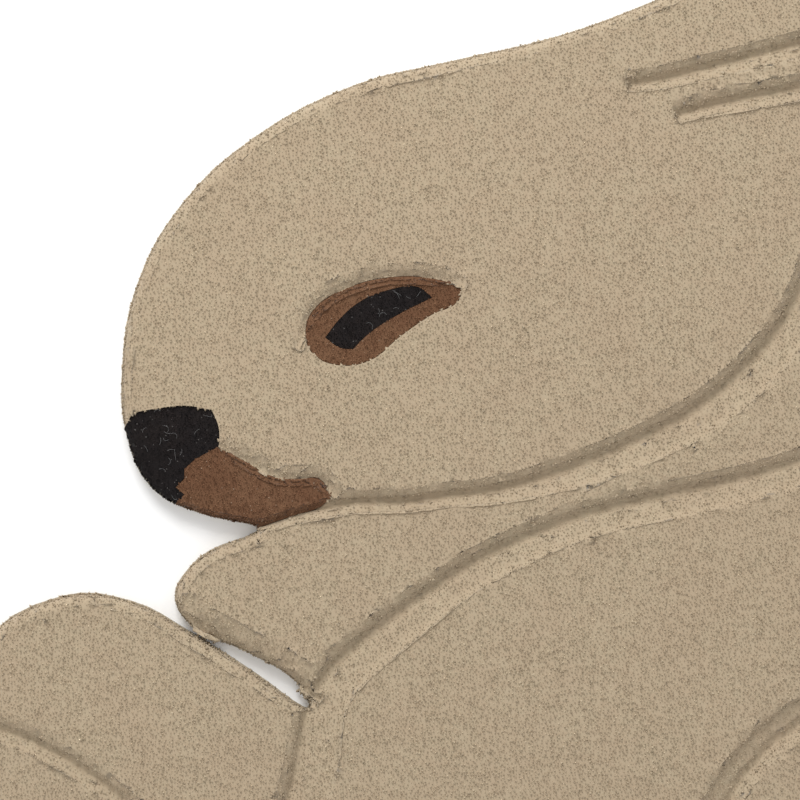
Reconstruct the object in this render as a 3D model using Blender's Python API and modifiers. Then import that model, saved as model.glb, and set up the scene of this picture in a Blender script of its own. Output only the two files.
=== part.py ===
"""Rabbit-shaped kids' rug: hand-tufted wool cut pile with carved lines between the body parts.

Units are metres, +Z up. The origin is the middle of the rug's footprint, on the floor. +X points from
the rabbit's nose to its tail, and +Y from its foot to its ears.
"""

import bmesh
import bpy
from mathutils import Vector

MM = 0.001

# Heights above the floor
GROUND = 3.0 * MM  # ground cloth with the adhesive that locks the tufts
PILE_TOP = 18.0 * MM  # sheared height of the beige pile
FIELD_TOP = 16.5 * MM  # sheared height of the brown and black yarns
GAP = 0.3 * MM  # clearance between two yarn fields

# Edges and carving
PILE_EDGE = 8.0 * MM  # how far in from the rug's edge the pile rounds over
EDGE_STEPS = 3  # facets of that rounding
WALL_RUN = 8.0 * MM  # width of the steep side of a carved line
WIDE_WALL = {"paw_line": 18.0 * MM}  # lines whose steep side is wider
LID = 2.0 * MM  # how far a cutter stands above the pile
OUTLINE_STEPS = 4  # straight pieces between two knots of an outline
CARVE_STEPS = 2  # stations for each row of a carved line

# Where a carved line's cross-section bends, as shares of its width on that side and of its depth
WALL_BEND = (0.35, 0.35)  # the steep side turns steeper
BEVEL_START = (0.22, 0.55)  # the short rise from the foot turns into the bevel
BROW = (0.85, 0.42)  # the bevel turns up to the full pile

# Meshing
WELD = 0.01 * MM  # corners nearer than this are one
FLAT_ANGLE = 0.001  # faces nearer to flat than this, in radians, are one
WALL_NORMAL = 0.5  # a face whose normal rises less than this is a wall

SMOOTH, CORNER = "AUTO", "VECTOR"

# The rug's edge, counter-clockwise from the root of the near ear, in millimetres: x, y, knot
RUG_OUTLINE = [
    (-12, 327, SMOOTH),  # nape, forehead and snout
    (-75, 304, SMOOTH),
    (-156, 285, SMOOTH),
    (-217, 270, SMOOTH),
    (-289, 233, SMOOTH),
    (-342, 184, SMOOTH),
    (-373, 127, SMOOTH),
    (-383, 70, SMOOTH),
    (-380, 23, SMOOTH),
    (-362, -15, SMOOTH),
    (-328, -33, SMOOTH),
    (-292, -41, SMOOTH),  # chin meets paw
    (-288, -43, SMOOTH),
    (-291, -46, SMOOTH),
    (-321, -58, SMOOTH),
    (-338, -73, SMOOTH),
    (-346, -90, SMOOTH),
    (-336, -110, SMOOTH),
    (-294, -131, SMOOTH),
    (-260, -152, SMOOTH),
    (-253, -164, SMOOTH),  # end of the slit between paw and foot
    (-252, -168, SMOOTH),
    (-256, -167, SMOOTH),
    (-287, -145, SMOOTH),
    (-336, -114, SMOOTH),
    (-374, -94, SMOOTH),
    (-425, -90, SMOOTH),
    (-485, -131, SMOOTH),
    (-490, -208, SMOOTH),
    (-425, -289, SMOOTH),
    (-317, -338, SMOOTH),  # foot meets belly
    (-166, -380, SMOOTH),
    (93, -406, SMOOTH),
    (310, -376, SMOOTH),
    (398, -333, SMOOTH),  # rump meets tail
    (410, -333, SMOOTH),
    (436, -338, SMOOTH),
    (474, -324, SMOOTH),
    (495, -289, SMOOTH),
    (488, -250, SMOOTH),
    (457, -229, SMOOTH),
    (428, -231, SMOOTH),  # tail meets back
    (423, -226, SMOOTH),
    (425, -216, SMOOTH),
    (451, -93, SMOOTH),
    (416, 61, SMOOTH),
    (306, 201, SMOOTH),
    (174, 275, SMOOTH),  # back meets far ear
    (168, 279, SMOOTH),
    (175, 282, SMOOTH),
    (275, 287, SMOOTH),
    (328, 304, SMOOTH),
    (330, 338, SMOOTH),
    (289, 348, SMOOTH),
    (159, 314, SMOOTH),  # far ear meets near ear
    (153, 315, SMOOTH),
    (157, 320, SMOOTH),
    (222, 355, SMOOTH),
    (254, 396, SMOOTH),
    (233, 411, SMOOTH),
    (135, 392, SMOOTH),
    (30, 346, SMOOTH),
]

# Outlines of the coloured yarn fields, in millimetres: x, y, knot. Mouth and nose run past the rug's edge,
# which then trims them, and the nose runs on under the mouth, which trims it too.
EYE_RING = [
    (-253, 96, SMOOTH),
    (-247, 111, SMOOTH),
    (-225, 125, SMOOTH),
    (-195, 133, SMOOTH),
    (-163, 132, SMOOTH),
    (-144, 126, CORNER),
    (-146, 117, SMOOTH),
    (-165, 107, SMOOTH),
    (-188, 91, SMOOTH),
    (-208, 75, SMOOTH),
    (-232, 72, SMOOTH),
    (-249, 81, SMOOTH),
]
EYE_PUPIL = [
    (-239, 91, CORNER),
    (-228, 105, SMOOTH),
    (-213, 117, SMOOTH),
    (-195, 124, SMOOTH),
    (-174, 126, SMOOTH),
    (-165, 119, CORNER),
    (-194, 104, SMOOTH),
    (-210, 93, SMOOTH),
    (-220, 83, CORNER),
    (-229, 84, SMOOTH),
]
MOUTH = [
    (-315, 14, CORNER),
    (-297, 5, SMOOTH),
    (-275, -7, SMOOTH),
    (-256, -8, SMOOTH),
    (-244, -8, SMOOTH),
    (-235, -20, CORNER),
    (-243, -28, SMOOTH),
    (-259, -33, SMOOTH),
    (-288, -43, CORNER),
    (-312, -47, CORNER),
    (-352, -46, CORNER),
    (-346, -27, CORNER),
    (-338, -19, CORNER),
    (-344, -14, CORNER),
    (-338, -8, CORNER),
    (-338, -1, CORNER),
    (-330, 6, CORNER),
]
NOSE = [
    (-374, 38, CORNER),
    (-357, 41, SMOOTH),
    (-338, 43, SMOOTH),
    (-319, 40, CORNER),
    (-314, 27, SMOOTH),
    (-315, 8, CORNER),
    (-320, -14, CORNER),
    (-330, -40, CORNER),
    (-400, -40, CORNER),
    (-400, 24, CORNER),
    (-382, 24, CORNER),
]

# Carved lines, in millimetres, drawn with the higher side on the left: x and y of the foot of the steep side,
# width of the bevel on the right, depth at the foot
CARVED_LINES = {
    "jaw_line": [
        (-300, -46, 3, 6),
        (-288, -43, 3, 6),
        (-264, -35, 4, 6),
        (-243, -29, 6, 7),
        (-219, -24, 7, 9),
        (-183, -24, 6, 9),
        (-150, -19, 7, 9),
        (-117, -15, 9, 9),
        (-68, 0, 14, 9),
        (-10, 25, 18, 9),
        (23, 44, 20, 9),
        (54, 70, 20, 9),
        (82, 103, 20, 9),
        (101, 144, 19, 8),
        (108, 187, 16, 5),
        (103, 222, 10, 1),
    ],
    "belly_line": [
        (-322, -352, 26, 8),
        (-308, -324, 27, 8),
        (-292, -299, 28, 8),
        (-278, -268, 28, 8),
        (-266, -233, 28, 8),
        (-258, -200, 28, 8),
        (-252, -167, 26, 9),
        (-236, -140, 24, 9),
        (-203, -112, 23, 9),
        (-154, -77, 19, 9),
        (-117, -56, 18, 9),
        (-60, -33, 16, 9),
        (2, -18, 17, 9),
        (65, -4, 16, 8),
        (124, 17, 14, 5),
        (166, 46, 9, 1),
    ],
    "paw_line": [
        (-357, -99, 1, 2),
        (-333, -112, 1, 9),
        (-311, -124, 1, 11),
        (-289, -136, 1, 11),
        (-266, -149, 2, 11),
        (-243, -163, 3, 9),
    ],
    "near_ear_line": [
        (-27, 269, 5, 7),
        (-5, 272, 6, 8),
        (23, 279, 7, 8),
        (93, 297, 8, 8),
        (149, 313, 8, 8),
        (163, 318, 8, 8),
    ],
    "far_ear_line": [
        (7, 247, 5, 7),
        (23, 252, 6, 8),
        (65, 261, 8, 8),
        (114, 270, 8, 8),
        (166, 278, 8, 8),
        (180, 280, 8, 8),
    ],
    "toe_line": [
        (-500, -172, 8, 7),
        (-446, -191, 8, 7),
        (-397, -220, 7, 7),
        (-362, -252, 7, 5),
        (-338, -276, 6, 1),
    ],
    "haunch_line": [
        (327, -264, 8, 1),
        (315, -222, 12, 6),
        (282, -187, 15, 9),
        (233, -164, 16, 9),
        (177, -156, 16, 9),
        (121, -166, 16, 9),
        (72, -196, 16, 9),
        (38, -243, 16, 9),
        (23, -296, 16, 9),
        (26, -348, 16, 9),
        (40, -420, 16, 9),
    ],
    "tail_line": [
        (404, -345, 10, 8),
        (393, -310, 10, 8),
        (391, -280, 10, 8),
        (401, -252, 10, 8),
        (424, -222, 10, 8),
    ],
    "eye_line": [
        (-258, 84, 4, 1),
        (-252, 100, 5, 3),
        (-244, 114, 5, 4),
        (-225, 126, 5, 4),
        (-195, 134, 5, 4),
        (-163, 133, 5, 4),
        (-142, 127, 4, 1),
    ],
    "mouth_line": [
        (-318, 16, 4, 1),
        (-297, 6, 5, 4),
        (-275, -6, 5, 4),
        (-256, -7, 5, 4),
        (-243, -8, 5, 4),
        (-233, -20, 5, 3),
        (-231, -33, 4, 1),
    ],
}

# Yarns: linear colour, roughness
BEIGE_WOOL = ((0.463, 0.361, 0.246), 0.95)
BROWN_WOOL = ((0.155, 0.077, 0.044), 0.95)
BLACK_WOOL = ((0.018, 0.014, 0.013), 0.95)


def clear_scene():
    for thing in list(bpy.data.objects):
        bpy.data.objects.remove(thing, do_unlink=True)


def new_collection(name):
    collection = bpy.data.collections.new(name)
    bpy.context.scene.collection.children.link(collection)
    return collection


def yarn(name, colour, roughness):
    material = bpy.data.materials.new(name)
    material.use_nodes = True
    shader = material.node_tree.nodes["Principled BSDF"]
    shader.inputs["Base Color"].default_value = (*colour, 1)
    shader.inputs["Roughness"].default_value = roughness
    shader.inputs["Metallic"].default_value = 0
    return material


def outline_curve(name, knots):
    """A closed flat curve through an outline's knots."""
    curve = bpy.data.curves.new(name, "CURVE")
    curve.dimensions = "2D"
    curve.fill_mode = "BOTH"
    curve.resolution_u = OUTLINE_STEPS
    spline = curve.splines.new("BEZIER")
    spline.bezier_points.add(len(knots) - 1)
    spline.use_cyclic_u = True
    for point, (x, y, kind) in zip(spline.bezier_points, knots):
        point.co = (x * MM, y * MM, 0)
        point.handle_left_type = kind
        point.handle_right_type = kind
    return curve


def prism(name, knots, bottom, top, collection, grow=0.0):
    """The outline with straight sides from bottom to top, grown outwards all round, as a welded mesh."""
    curve = outline_curve(name, knots)
    curve.extrude = (top - bottom) / 2
    curve.offset = grow
    drawn = bpy.data.objects.new(name + "_curve", curve)
    drawn.location.z = (top + bottom) / 2
    collection.objects.link(drawn)
    seen = drawn.evaluated_get(bpy.context.evaluated_depsgraph_get())
    mesh = bpy.data.meshes.new_from_object(seen)
    bm = bmesh.new()
    bm.from_mesh(mesh)
    bmesh.ops.remove_doubles(bm, verts=bm.verts, dist=WELD)
    bmesh.ops.dissolve_limit(bm, angle_limit=FLAT_ANGLE, verts=bm.verts, edges=bm.edges)
    bmesh.ops.recalc_face_normals(bm, faces=bm.faces)
    bm.to_mesh(mesh)
    bm.free()
    solid = bpy.data.objects.new(name, mesh)
    solid.matrix_world = drawn.matrix_world.copy()
    collection.objects.link(solid)
    bpy.data.objects.remove(drawn, do_unlink=True)
    return solid


def round_pile_edge(solid):
    """Rounds the pile over along the top of the rug's edge, and leaves the edge on the floor sharp."""
    mesh = solid.data
    highest = max(vertex.co.z for vertex in mesh.vertices)
    weights = mesh.attributes.new("bevel_weight_edge", "FLOAT", "EDGE")
    faces_at = {}
    for face in mesh.polygons:
        for key in face.edge_keys:
            faces_at.setdefault(key, []).append(face.normal.z)
    for edge in mesh.edges:
        on_top = all(mesh.vertices[v].co.z > highest - GAP for v in edge.vertices)
        is_rim = on_top and min(faces_at[edge.key]) < WALL_NORMAL
        weights.data[edge.index].value = 1.0 if is_rim else 0.0
    rounding = solid.modifiers.new("pile_edge", "BEVEL")
    rounding.limit_method = "WEIGHT"
    rounding.offset_type = "OFFSET"
    rounding.width = PILE_EDGE
    rounding.segments = EDGE_STEPS
    rounding.use_clamp_overlap = False


def between(before, start, end, after, t):
    """A point t of the way from start to end on the smooth (Catmull-Rom) line through all four rows."""
    return tuple(
        0.5 * (2 * b + (c - a) * t + (2 * a - 5 * b + 4 * c - d) * t**2 + (3 * b - a - 3 * c + d) * t**3)
        for a, b, c, d in zip(before, start, end, after)
    )


def stations(rows):
    """The rows of a carved line with CARVE_STEPS smooth steps between each two."""
    held = [rows[0], *rows, rows[-1]]
    found = [
        between(*held[i : i + 4], step / CARVE_STEPS)
        for i in range(len(rows) - 1)
        for step in range(CARVE_STEPS)
    ]
    return [*found, rows[-1]]


def cut_section(wall, bevel, depth):
    """The cut's cross-section as (across, up) corners, from the top of the steep side to the bevel's brow."""
    wall_slope = WALL_BEND[1] * depth / ((1 - WALL_BEND[0]) * wall)
    brow_slope = BROW[1] * depth / ((1 - BROW[0]) * bevel)
    return [
        (-wall - min(LID / wall_slope, wall), LID),
        (-WALL_BEND[0] * wall, -WALL_BEND[1] * depth),
        (0, -depth),
        (BEVEL_START[0] * bevel, -BEVEL_START[1] * depth),
        (BROW[0] * bevel, -BROW[1] * depth),
        (bevel + min(LID / brow_slope, bevel / 2), LID),
    ]


def carving(name, rows, collection):
    """A cutter lofted along a carved line, steep on its left and bevelled on its right."""
    line = stations(rows)
    bm = bmesh.new()
    rings = []
    for i, (x, y, bevel, depth) in enumerate(line):
        ahead = line[min(i + 1, len(line) - 1)]
        behind = line[max(i - 1, 0)]
        along = Vector((ahead[0] - behind[0], ahead[1] - behind[1], 0)).normalized()
        right = Vector((along.y, -along.x, 0))
        foot = Vector((x * MM, y * MM, PILE_TOP))
        corners = cut_section(WIDE_WALL.get(name, WALL_RUN), bevel * MM, depth * MM)
        rings.append([bm.verts.new(foot + right * across + Vector((0, 0, up))) for across, up in corners])
    for ring, following in zip(rings, rings[1:]):
        for i in range(len(ring)):
            j = (i + 1) % len(ring)
            bm.faces.new((ring[i], ring[j], following[j], following[i]))
    bm.faces.new(rings[0])
    bm.faces.new(reversed(rings[-1]))
    bmesh.ops.recalc_face_normals(bm, faces=bm.faces)
    mesh = bpy.data.meshes.new(name)
    bm.to_mesh(mesh)
    bm.free()
    cutter = bpy.data.objects.new(name, mesh)
    collection.objects.link(cutter)
    return cutter


def boolean(solid, cutter, operation="DIFFERENCE"):
    step = solid.modifiers.new(cutter.name, "BOOLEAN")
    step.operation = operation
    step.object = cutter


def build_rug():
    clear_scene()
    parts = new_collection("rabbit_rug")
    cutters = new_collection("cutters")
    origin = bpy.data.objects.new("rug_origin", None)
    parts.objects.link(origin)

    carved = {name: carving(name, rows, cutters) for name, rows in CARVED_LINES.items()}
    rug_form = prism("rug_form", RUG_OUTLINE, 0, PILE_TOP, cutters)
    round_pile_edge(rug_form)
    over_pile = PILE_TOP + LID
    pupil_room = prism("pupil_room", EYE_PUPIL, GROUND, over_pile, cutters, grow=GAP)
    eye_room = prism("eye_room", EYE_RING, GROUND, over_pile, cutters, grow=GAP)
    mouth_room = prism("mouth_room", MOUTH, GROUND, over_pile, cutters, grow=GAP)
    nose_room = prism("nose_room", NOSE, GROUND, over_pile, cutters, grow=GAP)

    rug_body = prism("rug_body", RUG_OUTLINE, 0, PILE_TOP, parts)
    round_pile_edge(rug_body)
    for cutter in (eye_room, mouth_room, nose_room, *carved.values()):
        boolean(rug_body, cutter)

    eye_ring = prism("eye_ring", EYE_RING, GROUND + GAP, FIELD_TOP, parts)
    boolean(eye_ring, pupil_room)
    boolean(eye_ring, carved["eye_line"])
    eye_pupil = prism("eye_pupil", EYE_PUPIL, GROUND + GAP, FIELD_TOP, parts)

    mouth = prism("mouth", MOUTH, GROUND + GAP, FIELD_TOP, parts)
    boolean(mouth, rug_form, "INTERSECT")
    boolean(mouth, carved["jaw_line"])
    boolean(mouth, carved["mouth_line"])

    nose = prism("nose", NOSE, GROUND + GAP, FIELD_TOP, parts)
    boolean(nose, rug_form, "INTERSECT")
    boolean(nose, mouth_room)

    beige = yarn("beige_wool", *BEIGE_WOOL)
    brown = yarn("brown_wool", *BROWN_WOOL)
    black = yarn("black_wool", *BLACK_WOOL)
    for solid, wool in (
        (rug_body, beige),
        (eye_ring, brown),
        (eye_pupil, black),
        (mouth, brown),
        (nose, black),
    ):
        solid.data.materials.append(wool)
        solid.parent = origin
    for cutter in cutters.objects:
        cutter.parent = origin
        cutter.hide_render = True
        cutter.display_type = "WIRE"

    edge = [corner.co for corner in rug_form.data.vertices]
    origin.location.x = -(min(p.x for p in edge) + max(p.x for p in edge)) / 2
    origin.location.y = -(min(p.y for p in edge) + max(p.y for p in edge)) / 2


build_rug()
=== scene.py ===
"""Looks of the rabbit-shaped kids' rug: hand-tufted wool cut pile on a woven ground cloth."""

import math

import bmesh
import bpy
import numpy as np
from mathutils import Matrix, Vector
from mathutils.bvhtree import BVHTree


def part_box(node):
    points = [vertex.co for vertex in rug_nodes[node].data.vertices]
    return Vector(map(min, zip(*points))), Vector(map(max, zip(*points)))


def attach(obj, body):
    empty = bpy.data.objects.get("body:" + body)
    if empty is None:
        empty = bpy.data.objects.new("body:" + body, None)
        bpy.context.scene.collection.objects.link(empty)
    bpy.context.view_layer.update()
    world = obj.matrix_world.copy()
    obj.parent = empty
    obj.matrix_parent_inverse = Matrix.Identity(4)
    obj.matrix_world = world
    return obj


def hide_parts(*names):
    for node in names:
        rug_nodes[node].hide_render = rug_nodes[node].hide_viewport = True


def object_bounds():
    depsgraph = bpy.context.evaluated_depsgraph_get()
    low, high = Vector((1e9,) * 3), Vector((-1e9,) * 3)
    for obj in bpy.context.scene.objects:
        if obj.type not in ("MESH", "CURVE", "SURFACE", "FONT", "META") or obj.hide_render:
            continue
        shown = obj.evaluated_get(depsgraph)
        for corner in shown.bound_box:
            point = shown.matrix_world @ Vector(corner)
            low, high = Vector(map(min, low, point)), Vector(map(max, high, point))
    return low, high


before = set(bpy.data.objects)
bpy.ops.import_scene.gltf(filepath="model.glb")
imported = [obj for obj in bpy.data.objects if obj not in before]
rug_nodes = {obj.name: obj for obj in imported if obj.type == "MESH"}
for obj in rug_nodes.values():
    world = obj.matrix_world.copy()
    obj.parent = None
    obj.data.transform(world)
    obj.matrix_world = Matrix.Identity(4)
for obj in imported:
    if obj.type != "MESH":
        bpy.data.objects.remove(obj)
cad_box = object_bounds()
MM = 0.001


def placed(name, data):
    """A new object for some data, linked into the scene."""
    made = bpy.data.objects.new(name, data)
    bpy.context.scene.collection.objects.link(made)
    return made


def finished_mesh(drawn):
    """The mesh that an object's modifiers or bevel make; the object itself goes."""
    seen = drawn.evaluated_get(bpy.context.evaluated_depsgraph_get())
    mesh = bpy.data.meshes.new_from_object(seen)
    bpy.data.objects.remove(drawn, do_unlink=True)
    return mesh


# ---------------------------------------------------------------- wool pile: the beige body
# Wool yarn is punched through the ground cloth and cut, so the face is thousands of yarn ends
# sheared level. Carved lines are shears run deeper, and at the rug's edge the ends flare outwards.
GROUND = 3.0 * MM
PILE_TOP = 18.0 * MM
WELD = 0.01 * MM
RIM_RISE = 2.0 * MM
ROOT_MARGIN = 1.0 * MM
RAY_LIFT = 0.01 * MM
NEIGHBOUR_REACH = 1.0 * MM
DOWNWARD = -0.5
SIDE_THINNING = 0.35
# Tone and rise given to the bed: a mid yarn tone, and a low rise that paints on it the root shade
# seen down between the ends
BED_TONE_AND_PAINTED_SHADE = 0.45


def merged_copy(node):
    """A node's solid as one welded bmesh."""
    solid = bmesh.new()
    solid.from_mesh(rug_nodes[node].data)
    bmesh.ops.remove_doubles(solid, verts=solid.verts, dist=WELD)
    bmesh.ops.recalc_face_normals(solid, faces=solid.faces)
    return solid


def softened(surface, cell=6.0 * MM, rounds=3):
    """The surface in small cells, its carved edges eased as shears and feet ease them."""
    for axis in (0, 1):
        places = [vertex.co[axis] for vertex in surface.verts]
        low, span = min(places), max(places) - min(places)
        count = max(2, round(span / cell))
        for k in range(1, count):
            middle, across = Vector((0, 0, 0)), Vector((0, 0, 0))
            middle[axis] = low + span * k / count
            across[axis] = 1
            everything = [*surface.verts, *surface.edges, *surface.faces]
            bmesh.ops.bisect_plane(surface, geom=everything, plane_co=middle, plane_no=across)
    bmesh.ops.triangulate(surface, faces=surface.faces)
    inner = [vertex for vertex in surface.verts if not vertex.is_boundary]
    for _ in range(rounds):
        bmesh.ops.smooth_vert(surface, verts=inner, factor=0.5, use_axis_z=True)
    surface.normal_update()
    sink = surface.verts.layers.float_vector.new("sink")
    for vertex in surface.verts:
        at_rim = vertex.is_boundary and vertex.co.z > GROUND + RIM_RISE
        vertex[sink] = Vector((0, 0, -1)) if at_rim else -vertex.normal
    return surface


def sheared_face(node, **easing):
    """The bare part of a yarn field: its top, and its side where no neighbour covers it."""
    others = [BVHTree.FromBMesh(merged_copy(name)) for name in rug_nodes if name != node]
    solid = merged_copy(node)
    hidden = []
    for face in solid.faces:
        middle, outward = face.calc_center_median(), face.normal
        start = middle + outward * RAY_LIFT
        hits = [tree.ray_cast(start, outward, NEIGHBOUR_REACH)[0] for tree in others]
        covered = any(hit is not None for hit in hits)
        if outward.z < DOWNWARD or covered:
            hidden.append(face)
    bmesh.ops.delete(solid, geom=hidden, context="FACES")
    root = Vector((0, 0, GROUND + ROOT_MARGIN))
    everything = [*solid.verts, *solid.edges, *solid.faces]
    bmesh.ops.bisect_plane(
        solid, geom=everything, plane_co=root, plane_no=(0, 0, -1), clear_outer=True
    )
    return softened(solid, **easing)


def nearest_part(surface, seeds, name):
    """The part of a surface nearer to one seed than to the others, cut along straight lines."""
    part = surface.copy()
    here = Vector((*seeds[name], 0)) * MM
    for other, place in seeds.items():
        if other == name:
            continue
        there = Vector((*place, 0)) * MM
        everything = [*part.verts, *part.edges, *part.faces]
        halfway = (here + there) / 2
        bmesh.ops.bisect_plane(
            part, geom=everything, plane_co=halfway, plane_no=there - here, clear_outer=True
        )
    bmesh.ops.triangulate(part, faces=part.faces)
    return part


PILE_INPUTS = (
    ("Yarn", "NodeSocketMaterial", None),
    ("Spacing", "NodeSocketFloat", 1.65 * MM),
    ("Density", "NodeSocketFloat", 1.1e6),
    ("Yarn Width", "NodeSocketFloat", 1.75 * MM),
    ("End Length", "NodeSocketFloat", 3.2 * MM),
    ("Side Length", "NodeSocketFloat", 7.0 * MM),
    ("Lean", "NodeSocketFloat", 0.55),
    ("Ruffle", "NodeSocketFloat", 0.3),
    ("Clump", "NodeSocketFloat", 1.3),
    ("Clump Size", "NodeSocketFloat", 5.0 * MM),
    ("Shear Waver", "NodeSocketFloat", 1.0 * MM),
    ("Bed Depth", "NodeSocketFloat", 2.1 * MM),
    ("Root Height", "NodeSocketFloat", GROUND - ROOT_MARGIN),
    ("Seed", "NodeSocketInt", 3),
)


def tufting():
    """Geometry nodes that set cut yarn ends all over a surface, above a bed of packed yarn."""
    tree = bpy.data.node_groups.new("tufting", "GeometryNodeTree")
    face = tree.interface
    face.new_socket("Geometry", in_out="INPUT", socket_type="NodeSocketGeometry")
    for name, kind, value in PILE_INPUTS:
        socket = face.new_socket(name, in_out="INPUT", socket_type=kind)
        if value is not None:
            socket.default_value = value
    face.new_socket("Geometry", in_out="OUTPUT", socket_type="NodeSocketGeometry")
    given = tree.nodes.new("NodeGroupInput").outputs

    def node(kind, inputs=(), **settings):
        made = tree.nodes.new(kind)
        for key, value in settings.items():
            setattr(made, key, value)
        for key, value in dict(inputs).items():
            socket = made.inputs[key]
            if isinstance(value, bpy.types.NodeSocket):
                tree.links.new(value, socket)
            else:
                socket.default_value = value
        return made

    def maths(operation, first, second=0.0):
        return node("ShaderNodeMath", {0: first, 1: second}, operation=operation).outputs[0]

    def vectors(operation, first, second=(0, 0, 0)):
        return node("ShaderNodeVectorMath", {0: first, 1: second}, operation=operation).outputs[0]

    def scaled(vector, by):
        return node("ShaderNodeVectorMath", {0: vector, "Scale": by}, operation="SCALE").outputs[0]

    def upright(vector):
        return node("ShaderNodeSeparateXYZ", {0: vector}).outputs["Z"]

    def stored(geometry, name, value, kind="FLOAT"):
        given_to = {"Geometry": geometry, "Name": name, "Value": value}
        settings = {"data_type": kind, "domain": "POINT"}
        return node("GeometryNodeStoreNamedAttribute", given_to, **settings).outputs[0]

    def recalled(name):
        settings = {"data_type": "FLOAT_VECTOR"}
        return node("GeometryNodeInputNamedAttribute", {"Name": name}, **settings).outputs[0]

    def chance(low, high, draw):
        inputs = {2: low, 3: high, "Seed": maths("ADD", given["Seed"], draw)}
        return node("FunctionNodeRandomValue", inputs, data_type="FLOAT").outputs[1]

    # One yarn end: a three-sided spike, its point at the sheared height, its root one length down
    spike = node(
        "GeometryNodeMeshCone",
        {"Vertices": 3, "Radius Top": 0.0, "Radius Bottom": 1.0, "Depth": 1.0},
        fill_type="NONE",
    ).outputs["Mesh"]
    spike = node("GeometryNodeTransform", {"Geometry": spike, "Translation": (0, 0, -1)}).outputs[0]
    # rise runs from 0 at the root to 1 at the point; the wool shader paints shade towards the root
    # from it
    height = upright(node("GeometryNodeInputPosition").outputs[0])
    spike = stored(spike, "rise", maths("ADD", height, 1.0))

    # Where the ends stand
    ends = node(
        "GeometryNodeDistributePointsOnFaces",
        {
            "Mesh": given["Geometry"],
            "Distance Min": given["Spacing"],
            "Density Max": given["Density"],
            "Seed": given["Seed"],
        },
        distribute_method="POISSON",
    )
    outward = ends.outputs["Normal"]
    tone = node("FunctionNodeRandomValue", {"Seed": given["Seed"]}, data_type="FLOAT").outputs[1]
    points = stored(ends.outputs["Points"], "tone", tone)
    points = stored(points, "outward", outward, "FLOAT_VECTOR")
    outward = recalled("outward")
    place = node("GeometryNodeInputPosition").outputs[0]

    # How each leans: up, out with the surface, ruffled by itself and with its neighbours
    stray = node(
        "FunctionNodeRandomValue",
        {0: (-1, -1, -0.2), 1: (1, 1, 0.2), "Seed": maths("ADD", given["Seed"], 5.0)},
        data_type="FLOAT_VECTOR",
    ).outputs[0]
    flow = node(
        "ShaderNodeTexNoise",
        {"Vector": place, "Scale": maths("DIVIDE", 1.0, given["Clump Size"]), "Detail": 1.0},
    ).outputs["Color"]
    flow = vectors("SUBTRACT", flow, (0.5, 0.5, 0.5))
    lean = vectors("ADD", (0, 0, 1), scaled(outward, given["Lean"]))
    lean = vectors("ADD", lean, scaled(stray, given["Ruffle"]))
    lean = vectors("NORMALIZE", vectors("ADD", lean, scaled(flow, given["Clump"])))

    # How long each is: short where only ends show, long where the side of the pile shows
    slope = maths("SUBTRACT", 1.0, upright(outward))
    length = node(
        "ShaderNodeMapRange",
        {"Value": slope, "To Min": given["End Length"], "To Max": given["Side Length"]},
    ).outputs[0]
    above = maths("SUBTRACT", upright(place), given["Root Height"])
    rising = maths("MAXIMUM", upright(lean), 0.2)
    length = maths("MINIMUM", length, maths("DIVIDE", above, rising))
    width = maths("MULTIPLY", chance(0.8, 1.2, 9.0), given["Yarn Width"])
    thinning = maths("MULTIPLY", slope, SIDE_THINNING)
    width = maths("MULTIPLY", width, maths("SUBTRACT", 1.0, thinning))
    size = node("ShaderNodeCombineXYZ", {0: width, 1: width, 2: length}).outputs[0]
    waver = maths("MULTIPLY", chance(-1.0, 0.0, 13.0), given["Shear Waver"])
    points = node(
        "GeometryNodeSetPosition", {"Geometry": points, "Offset": scaled(outward, waver)}
    ).outputs[0]
    spin = chance(0.0, math.tau, 17.0)
    turn = node("FunctionNodeAlignRotationToVector", {"Vector": lean}, axis="Z").outputs[0]
    own = node("FunctionNodeAxisAngleToRotation", {"Axis": (0, 0, 1), "Angle": spin}).outputs[0]
    turn = node(
        "FunctionNodeRotateRotation", {"Rotation": turn, "Rotate By": own}, rotation_space="LOCAL"
    ).outputs[0]
    tufts = node(
        "GeometryNodeInstanceOnPoints",
        {"Points": points, "Instance": spike, "Rotation": turn, "Scale": size},
    ).outputs[0]
    tufts = node("GeometryNodeRealizeInstances", {"Geometry": tufts}).outputs[0]

    # The bed: packed yarn just under the ends, drawn in from the rug's edge, in a mid tone darkened
    # by the painted root shade, which stands in for the shade in the gaps between ends
    sunk = scaled(recalled("sink"), given["Bed Depth"])
    bed = node(
        "GeometryNodeSetPosition", {"Geometry": given["Geometry"], "Offset": sunk}
    ).outputs[0]
    for name in ("rise", "tone"):
        bed = stored(bed, name, BED_TONE_AND_PAINTED_SHADE)
    pile = node("GeometryNodeJoinGeometry")
    tree.links.new(tufts, pile.inputs[0])
    tree.links.new(bed, pile.inputs[0])
    pile = node("GeometryNodeSetShadeSmooth", {"Geometry": pile.outputs[0]}).outputs[0]
    pile = node("GeometryNodeSetMaterial", {"Geometry": pile, "Material": given["Yarn"]}).outputs[0]
    out = tree.nodes.new("NodeGroupOutput")
    tree.links.new(pile, out.inputs[0])
    return tree


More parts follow.
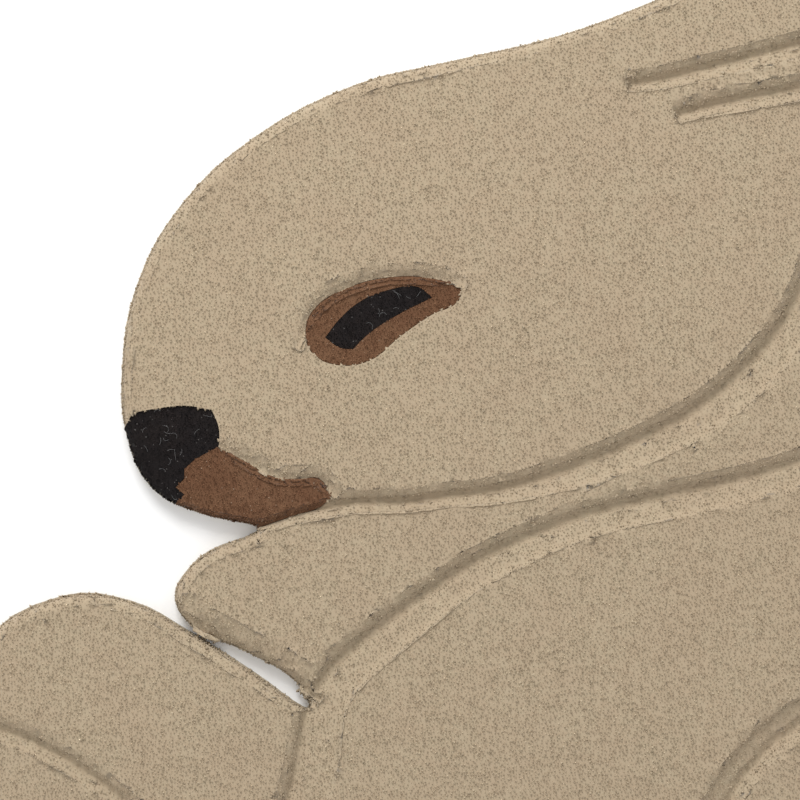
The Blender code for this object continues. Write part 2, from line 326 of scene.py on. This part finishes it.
def plan_map(mesh):
    """A map of the piece seen from above, with its upright sides folded outwards."""
    corners = np.zeros(len(mesh.loops), np.int32)
    mesh.loops.foreach_get("vertex_index", corners)
    places = np.zeros(len(mesh.vertices) * 3, np.float32)
    mesh.vertices.foreach_get("co", places)
    places = places.reshape(-1, 3)
    normals = np.zeros(len(mesh.polygons) * 3, np.float32)
    mesh.polygons.foreach_get("normal", normals)
    facing = np.repeat(normals.reshape(-1, 3), 3, axis=0)
    at = places[corners]
    fold = (1 - np.abs(facing[:, 2])) * (PILE_TOP - at[:, 2]) * 0.5
    flat = at[:, :2] + facing[:, :2] * fold[:, None]
    low = flat.min(0)
    flat = 0.01 + 0.98 * (flat - low) / (flat.max(0) - low)
    mesh.uv_layers.new(name="OFBake").data.foreach_set("uv", flat.astype(np.float32).ravel())


pile_tree = tufting()
pile_sockets = {
    item.name: item.identifier
    for item in pile_tree.interface.items_tree
    if item.in_out == "INPUT"
}


def tufted(name, surface, yarn, node, slot, **sizes):
    """A piece of pile on a sheared surface, standing for a node."""
    base = bpy.data.meshes.new(name + "_surface")
    surface.to_mesh(base)
    surface.free()
    drawn = placed(name + "_surface", base)
    work = drawn.modifiers.new("tufting", "NODES")
    work.node_group = pile_tree
    work[pile_sockets["Yarn"]] = yarn
    for key, value in sizes.items():
        work[pile_sockets[key.replace("_", " ").title()]] = value
    mesh = finished_mesh(drawn)
    mesh.name = name
    plan_map(mesh)
    piece = placed(name, mesh)
    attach(piece, "root")
    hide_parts(node)
    print(name, len(mesh.polygons), "triangles")
    return piece


# Broad patches, then mottling from tuft to tuft: noise scale, detail, and the range it fades over
WOOL_CLOUDS = ((28.0, 3.0, 0.42, 0.62), (240.0, 2.0, 0.4, 0.62))
FIBRE_SCALE = 1600.0


def spun_wool():
    """Shader group for wool yarn: toned tuft by tuft, clouded over the rug, with painted shade
    darkening it towards the roots, standing in for the shade between tufts.
    """
    group = bpy.data.node_groups.new("spun_wool", "ShaderNodeTree")
    face = group.interface
    for name, kind, value in (
        ("Pale", "NodeSocketColor", (1, 1, 1, 1)),
        ("Deep", "NodeSocketColor", (0.5, 0.5, 0.5, 1)),
        ("Cloud", "NodeSocketColor", (0.5, 0.5, 0.5, 1)),
        ("Fleck", "NodeSocketColor", (0.1, 0.1, 0.1, 1)),
        ("Cloud Amount", "NodeSocketFloat", 0.5),
        ("Fleck Share", "NodeSocketFloat", 0.0005),
        # Painted root shade: how dark the colour is painted at a yarn's root, standing in for the
        # shade deep between tufts
        ("Root Shade", "NodeSocketFloat", 0.4),
    ):
        face.new_socket(name, in_out="INPUT", socket_type=kind).default_value = value
    face.new_socket("Colour", in_out="OUTPUT", socket_type="NodeSocketColor")
    face.new_socket("Fibre", in_out="OUTPUT", socket_type="NodeSocketFloat")
    nodes, links = group.nodes, group.links
    given = nodes.new("NodeGroupInput").outputs
    out = nodes.new("NodeGroupOutput")

    def blended(factor, first, second, kind="MIX"):
        mix = nodes.new("ShaderNodeMix")
        mix.data_type = "RGBA"
        mix.blend_type = kind
        for i, value in ((0, factor), (6, first), (7, second)):
            socket = mix.inputs[i]
            if isinstance(value, bpy.types.NodeSocket):
                links.new(value, socket)
            else:
                socket.default_value = value
        return mix.outputs[2]

    def ranged(value, low, high, to_low=0.0, to_high=1.0):
        span = nodes.new("ShaderNodeMapRange")
        links.new(value, span.inputs[0])
        for i, number in enumerate((low, high, to_low, to_high), start=1):
            if isinstance(number, bpy.types.NodeSocket):
                links.new(number, span.inputs[i])
            else:
                span.inputs[i].default_value = number
        return span.outputs[0]

    def noise(scale, detail):
        texture = nodes.new("ShaderNodeTexNoise")
        texture.inputs["Scale"].default_value = scale
        texture.inputs["Detail"].default_value = detail
        links.new(at, texture.inputs["Vector"])
        return texture.outputs[0]

    at = nodes.new("ShaderNodeTexCoord").outputs["Object"]
    tone = nodes.new("ShaderNodeAttribute")
    tone.attribute_name = "tone"
    rise = nodes.new("ShaderNodeAttribute")
    rise.attribute_name = "rise"
    colour = blended(ranged(tone.outputs["Fac"], 0.0, 1.0), given["Deep"], given["Pale"])
    for scale, detail, low, high in WOOL_CLOUDS:
        cloudy = ranged(noise(scale, detail), low, high)
        cloudy = ranged(cloudy, 0.0, 1.0, 0.0, given["Cloud Amount"])
        colour = blended(cloudy, colour, given["Cloud"])
    rare = nodes.new("ShaderNodeMath")
    rare.operation = "LESS_THAN"
    links.new(tone.outputs["Fac"], rare.inputs[0])
    links.new(given["Fleck Share"], rare.inputs[1])
    colour = blended(rare.outputs[0], colour, given["Fleck"])
    # Painted shade: the colour darkens from the point (rise 1) to the root (rise 0), down to the
    # root shade value, standing in for the shade between tufts
    shade = ranged(rise.outputs["Fac"], 0.0, 1.0, given["Root Shade"], 1.0)
    painted_shade_grey = nodes.new("ShaderNodeCombineColor")
    for i in range(3):
        links.new(shade, painted_shade_grey.inputs[i])
    colour = blended(1.0, colour, painted_shade_grey.outputs[0], "MULTIPLY")
    links.new(colour, out.inputs["Colour"])
    links.new(noise(FIBRE_SCALE, 2.0), out.inputs["Fibre"])
    return group


wool_group = spun_wool()


def wool(name, sheen=0.15, **values):
    """A yarn's material: the wool group on a matt, faintly downy surface."""
    yarn = bpy.data.materials.new(name)
    yarn.use_nodes = True
    nodes, links = yarn.node_tree.nodes, yarn.node_tree.links
    shader = nodes["Principled BSDF"]
    shader.inputs["Roughness"].default_value = 0.95
    shader.inputs["Specular IOR Level"].default_value = 0.15
    shader.inputs["Sheen Weight"].default_value = sheen
    shader.inputs["Sheen Roughness"].default_value = 0.6
    spun = nodes.new("ShaderNodeGroup")
    spun.node_tree = wool_group
    for key, value in values.items():
        socket = spun.inputs[key.replace("_", " ").title()]
        socket.default_value = (*value, 1) if isinstance(value, tuple) else value
    links.new(spun.outputs["Colour"], shader.inputs["Base Color"])
    bump = nodes.new("ShaderNodeBump")
    bump.inputs["Strength"].default_value = 0.25
    bump.inputs["Distance"].default_value = 0.2 * MM
    links.new(spun.outputs["Fibre"], bump.inputs["Height"])
    links.new(bump.outputs["Normal"], shader.inputs["Normal"])
    return yarn


beige = wool(
    "beige_wool",
    pale=(0.665, 0.545, 0.385),
    deep=(0.355, 0.282, 0.188),
    cloud=(0.49, 0.38, 0.262),
    fleck=(0.10, 0.06, 0.04),
    cloud_amount=0.5,
    fleck_share=0.00002,
    # painted root shade: darkening towards the roots, standing in for the shade between tufts
    root_shade=0.7,
)

# Middles of the pile pieces, in millimetres
PILE_SEEDS = {
    "snout_pile": (-270, 150),
    "crown_pile": (-60, 230),
    "ears_pile": (215, 330),
    "neck_pile": (90, 120),
    "cheek_pile": (-150, 30),
    "paw_pile": (-210, -90),
    "foot_pile": (-400, -220),
    "belly_pile": (-130, -260),
    "flank_pile": (90, -100),
    "back_pile": (330, 60),
    "haunch_pile": (140, -290),
    "tail_pile": (400, -230),
}
beige_face = sheared_face("rug_body")
beige_pieces = [
    tufted(
        name, nearest_part(beige_face, PILE_SEEDS, name), beige, "rug_body", "beige_wool", seed=seed
    )
    for seed, name in enumerate(PILE_SEEDS, start=11)
]


# ---------------------------------------------------------------- eye: brown ring and black pupil
# Both are tufted into the same ground cloth in their own yarns, and sheared a little lower than
# the beige round them, which is carved to slope down to the ring.
brown = wool(
    "brown_wool",
    pale=(0.43, 0.235, 0.13),
    deep=(0.10, 0.042, 0.018),
    cloud=(0.19, 0.085, 0.042),
    fleck=(0.42, 0.28, 0.19),
    cloud_amount=0.4,
    fleck_share=0.02,
    # painted root shade: darkening towards the roots, standing in for the shade between tufts
    root_shade=0.35,
    sheen=0.08,
)
black = wool(
    "black_wool",
    pale=(0.046, 0.034, 0.032),
    deep=(0.003, 0.003, 0.003),
    cloud=(0.014, 0.012, 0.013),
    fleck=(0.13, 0.12, 0.115),
    cloud_amount=0.4,
    fleck_share=0.03,
    # painted root shade: darkening towards the roots, standing in for the shade between tufts
    root_shade=0.4,
    sheen=0.03,
)
FIELD_EASING = {"cell": 4.0 * MM, "rounds": 8}
FIELD_PILE = {"spacing": 1.2 * MM, "density": 1.8e6, "yarn_width": 1.15 * MM, "ruffle": 0.4}


def yarn_field(node, yarn, slot, seed):
    """The finer pile of one small field, in its own yarn."""
    surface = sheared_face(node, **FIELD_EASING)
    return tufted(node + "_pile", surface, yarn, node, slot, seed=seed, **FIELD_PILE)


eye_pieces = [
    yarn_field("eye_ring", brown, "brown_wool", 41),
    yarn_field("eye_pupil", black, "black_wool", 42),
]


# ---------------------------------------------------------------- nose and mouth
# The black nose and the brown mouth run out over the rug's edge, where their yarn flares
# sideways and shows its length.
face_pieces = [
    yarn_field("mouth", brown, "brown_wool", 43),
    yarn_field("nose", black, "black_wool", 44),
]


# ---------------------------------------------------------------- loose fibres on the black yarn
# Shearing leaves a few pale fibres lying curled on the black pile, where they show most.
FIBRE_RADIUS = 0.07 * MM
FIBRE_POINTS = 6
FIBRE_DROP = 2.5 * MM
ABOVE_RUG = 30.0 * MM
FIBRES = {"eye_pupil": 8, "nose": 16}
luck = np.random.default_rng(5)
curled = bpy.data.curves.new("loose_fibres", "CURVE")
curled.dimensions = "3D"
curled.bevel_depth = FIBRE_RADIUS
curled.bevel_resolution = 0
for node, count in FIBRES.items():
    low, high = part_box(node)
    tree = BVHTree.FromBMesh(merged_copy(node))
    made = 0
    while made < count:
        x, y = luck.uniform(low.x, high.x), luck.uniform(low.y, high.y)
        heading, bend = luck.uniform(0, math.tau), luck.uniform(-0.6, 0.6)
        step = luck.uniform(0.7, 1.6) * MM
        path = []
        for _ in range(FIBRE_POINTS):
            hit = tree.ray_cast(Vector((x, y, ABOVE_RUG)), Vector((0, 0, -1)))[0]
            if hit is None or hit.z < high.z - FIBRE_DROP:
                break
            path.append((x, y, hit.z))
            x += step * math.cos(heading)
            y += step * math.sin(heading)
            heading += bend
        if len(path) < FIBRE_POINTS:
            continue
        spline = curled.splines.new("POLY")
        spline.points.add(len(path) - 1)
        for point, place in zip(spline.points, path):
            point.co = (*place, 1)
        made += 1
fibre_mesh = finished_mesh(placed("loose_fibres_drawn", curled))
fibres = placed("loose_fibres", fibre_mesh)
lint = wool(
    "undyed_fibre",
    pale=(0.17, 0.145, 0.13),
    deep=(0.10, 0.085, 0.075),
    cloud=(0.10, 0.085, 0.075),
    fleck=(0.2, 0.2, 0.2),
    cloud_amount=0.5,
    # painted root shade value; these fibres carry no rise, so it darkens them evenly
    root_shade=0.9,
)
fibre_mesh.materials.append(lint)
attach(fibres, "root")


# ---------------------------------------------------------------- ground cloth
# A woven cotton canvas that the yarn is punched through, brushed with latex underneath to lock
# the tufts. It carries the whole rug and shows only from below and as a line at the edge.
CLOTH_THICKNESS = 2.6 * MM
CLOTH_INSET = 0.6 * MM
UNDERSIDE = 0.5 * MM
FACES_DOWN = -0.9
cloth_form = merged_copy("rug_body")
upper = [
    face
    for face in cloth_form.faces
    if face.normal.z > FACES_DOWN or face.calc_center_median().z > UNDERSIDE
]
bmesh.ops.delete(cloth_form, geom=upper, context="FACES")

# The rim is drawn in evenly, so that the pile hides the cloth from above
shifts = []
for vertex in cloth_form.verts:
    rim = [edge for edge in vertex.link_edges if edge.is_boundary]
    if len(rim) != 2:
        continue
    inward = Vector((0, 0, 0))
    for edge in rim:
        along = (edge.verts[1].co - edge.verts[0].co).normalized()
        side = Vector((-along.y, along.x, 0))
        within = edge.link_faces[0].calc_center_median() - edge.verts[0].co
        inward += side if side.dot(within) > 0 else -side
    shifts.append((vertex, inward.normalized()))
for vertex, shift in shifts:
    vertex.co += shift * CLOTH_INSET
raised = bmesh.ops.extrude_face_region(cloth_form, geom=cloth_form.faces[:])
for item in raised["geom"]:
    if isinstance(item, bmesh.types.BMVert):
        item.co.z += CLOTH_THICKNESS
bmesh.ops.recalc_face_normals(cloth_form, faces=cloth_form.faces)
cloth_mesh = bpy.data.meshes.new("ground_cloth")
cloth_form.to_mesh(cloth_mesh)
cloth_form.free()
cloth = placed("ground_cloth", cloth_mesh)

canvas = bpy.data.materials.new("latexed_canvas")
canvas.use_nodes = True
nodes, links = canvas.node_tree.nodes, canvas.node_tree.links
shader = nodes["Principled BSDF"]
shader.inputs["Roughness"].default_value = 0.9
shader.inputs["Specular IOR Level"].default_value = 0.2
at = nodes.new("ShaderNodeTexCoord").outputs["Object"]
threads = []
for direction in ("X", "Y"):
    thread = nodes.new("ShaderNodeTexWave")
    thread.bands_direction = direction
    thread.inputs["Scale"].default_value = 260.0
    thread.inputs["Distortion"].default_value = 0.6
    thread.inputs["Detail"].default_value = 1.0
    links.new(at, thread.inputs["Vector"])
    threads.append(thread.outputs["Fac"])
weave = nodes.new("ShaderNodeMath")
weave.operation = "MAXIMUM"
links.new(threads[0], weave.inputs[0])
links.new(threads[1], weave.inputs[1])
stains = nodes.new("ShaderNodeTexNoise")
stains.inputs["Scale"].default_value = 18.0
stains.inputs["Detail"].default_value = 4.0
links.new(at, stains.inputs["Vector"])
dusty = nodes.new("ShaderNodeMix")
dusty.data_type = "RGBA"
dusty.inputs[6].default_value = (0.42, 0.36, 0.27, 1)
dusty.inputs[7].default_value = (0.60, 0.54, 0.43, 1)
links.new(stains.outputs[0], dusty.inputs[0])
woven = nodes.new("ShaderNodeMix")
woven.data_type = "RGBA"
woven.blend_type = "MULTIPLY"
woven.inputs[0].default_value = 0.35
links.new(dusty.outputs[2], woven.inputs[6])
links.new(weave.outputs[0], woven.inputs[7])
links.new(woven.outputs[2], shader.inputs["Base Color"])
canvas_bump = nodes.new("ShaderNodeBump")
canvas_bump.inputs["Strength"].default_value = 0.5
canvas_bump.inputs["Distance"].default_value = 0.3 * MM
links.new(weave.outputs[0], canvas_bump.inputs["Height"])
links.new(canvas_bump.outputs["Normal"], shader.inputs["Normal"])
cloth_mesh.materials.append(canvas)
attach(cloth, "root")
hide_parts("rug_body")
low, high = cad_box


# ---------------------------------------------------------------- studio
# A plain pale floor, a large soft light beyond the ears and a pale room all round.
FLOOR_REACH = 12.0
FLOOR_GAP = 0.2 * MM
corners = [(x * FLOOR_REACH, y * FLOOR_REACH, 0) for x, y in ((-1, -1), (1, -1), (1, 1), (-1, 1))]
floor_mesh = bpy.data.meshes.new("floor")
floor_mesh.from_pydata(corners, [], [(0, 1, 2, 3)])
floor = placed("floor", floor_mesh)
floor.location.z = -FLOOR_GAP
pale = bpy.data.materials.new("pale_floor")
pale.use_nodes = True
shader = pale.node_tree.nodes["Principled BSDF"]
shader.inputs["Base Color"].default_value = (0.93, 0.93, 0.93, 1)
shader.inputs["Roughness"].default_value = 0.9
floor_mesh.materials.append(pale)

LIGHT_PLACE = Vector((-0.9, 2.4, 1.9))
LIGHT_AIM = Vector((-0.1, 0.0, 0.0))
lamp = bpy.data.lights.new("soft_light", "AREA")
lamp.size = 1.4
lamp.energy = 74
light = placed("soft_light", lamp)
light.location = LIGHT_PLACE
light.rotation_euler = (LIGHT_AIM - LIGHT_PLACE).to_track_quat("-Z", "Y").to_euler()
room = bpy.data.worlds.new("pale_room")
room.use_nodes = True
background = room.node_tree.nodes["Background"]
background.inputs["Color"].default_value = (1, 0.995, 0.985, 1)
background.inputs["Strength"].default_value = 0.84
bpy.context.scene.world = room
bpy.context.scene.view_settings.view_transform = "Standard"

# Straight down from far off, on a width of rug that takes in the head, the paw and the foot
VIEW_WIDTH = 0.56
VIEW_HEIGHT = 3.0
VIEW_MIDDLE = (-0.1869, 0.0436, 0.016)
SENSOR_WIDTH = 36
camera_data = bpy.data.cameras.new("camera")
camera_data.sensor_width = SENSOR_WIDTH
camera_data.lens = SENSOR_WIDTH * VIEW_HEIGHT / VIEW_WIDTH
camera = placed("camera", camera_data)
camera.location = (*VIEW_MIDDLE[:2], VIEW_HEIGHT + VIEW_MIDDLE[2])
bpy.context.scene.camera = camera
